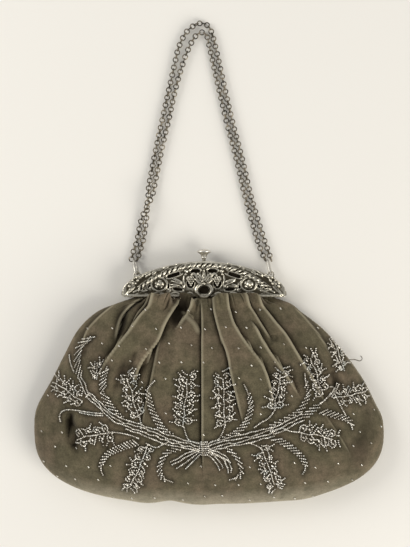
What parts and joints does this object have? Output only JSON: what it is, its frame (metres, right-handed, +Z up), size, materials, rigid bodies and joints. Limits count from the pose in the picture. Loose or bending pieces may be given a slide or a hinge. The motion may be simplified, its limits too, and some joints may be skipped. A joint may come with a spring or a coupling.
{
  "type": "velvet evening bag",
  "caption": "Gathered velvet evening bag lying on its back, with a cast and pierced arched metal frame, press clasp and double chain handle.",
  "frame": {"origin": "on the surface that the bag lies on, in the middle of the flat back of the pouch", "axes": "+X across the bag to the right, +Y from the hem to the handle, +Z up out of the bag's front"},
  "size_m": [0.2937, 0.4077, 0.043],
  "materials": {
    "velvet": "cotton velvet, taupe",
    "silver": "tarnished cast silver",
    "chain": "dull tarnished wire",
    "beads": "cut steel beads"
  },
  "bodies": {
    "bag": {"pouch": "velvet", "frame_front": "silver", "frame_back": "silver", "hinge_pin_left": "silver", "hinge_pin_right": "silver", "bail_left": "silver", "bail_right": "silver", "chain_first": "chain", "chain_second": "chain"},
    "clasp": {"clasp_button": "silver"}
  },
  "joints": [
    {"name": "clasp_press", "type": "slide", "parent": "bag", "child": "clasp", "axis": [0, -1, 0], "range_m": [0, 0.002], "stiffness_N_per_m": 150}
  ]
}
